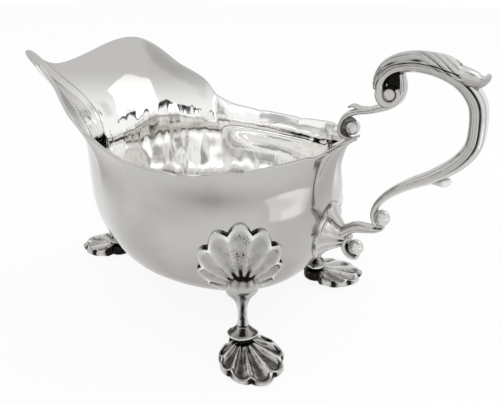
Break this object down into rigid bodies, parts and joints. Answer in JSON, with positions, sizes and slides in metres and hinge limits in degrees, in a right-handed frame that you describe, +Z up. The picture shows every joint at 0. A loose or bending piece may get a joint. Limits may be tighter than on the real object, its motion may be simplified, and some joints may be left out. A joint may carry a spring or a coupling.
{
  "type": "sauce jug",
  "caption": "Silver sauce jug: oval bellied bowl with a broad high pouring lip, shell legs and a flying double-scroll handle with an acanthus leaf.",
  "frame": {"origin": "on the ground under the middle of the whole jug", "axes": "+Z up, -X towards the pouring lip, +X towards the handle, y = 0 is the middle plane through lip and handle"},
  "size_m": [0.2144, 0.0976, 0.1092],
  "materials": {
    "bowl_silver": "polished sterling silver, softly worn outside, brighter inside",
    "leg_silver": "cast silver, bright on the ribs with dark tarnish in the hollows",
    "handle_silver": "cast and chased silver, bright with dark tarnish in the creases"
  },
  "bodies": {
    "root": {"bowl": "bowl_silver", "spout_knee_shell": "leg_silver", "spout_leg_stem": "leg_silver", "spout_leg_collar": "leg_silver", "spout_foot_shell": "leg_silver", "left_knee_shell": "leg_silver", "left_leg_stem": "leg_silver", "left_leg_collar": "leg_silver", "left_foot_shell": "leg_silver", "right_knee_shell": "leg_silver", "right_leg_stem": "leg_silver", "right_leg_collar": "leg_silver", "right_foot_shell": "leg_silver", "handle_scroll": "handle_silver", "handle_leaf": "handle_silver", "handle_top_coil": "handle_silver", "handle_lower_knob": "handle_silver", "handle_spur_leaf": "handle_silver", "rim_bracket": "handle_silver", "rim_bracket_ball": "handle_silver", "rim_leaf": "handle_silver", "base_bracket": "handle_silver", "base_bracket_ball": "handle_silver", "handle_joint_plate": "handle_silver"}
  },
  "joints": []
}
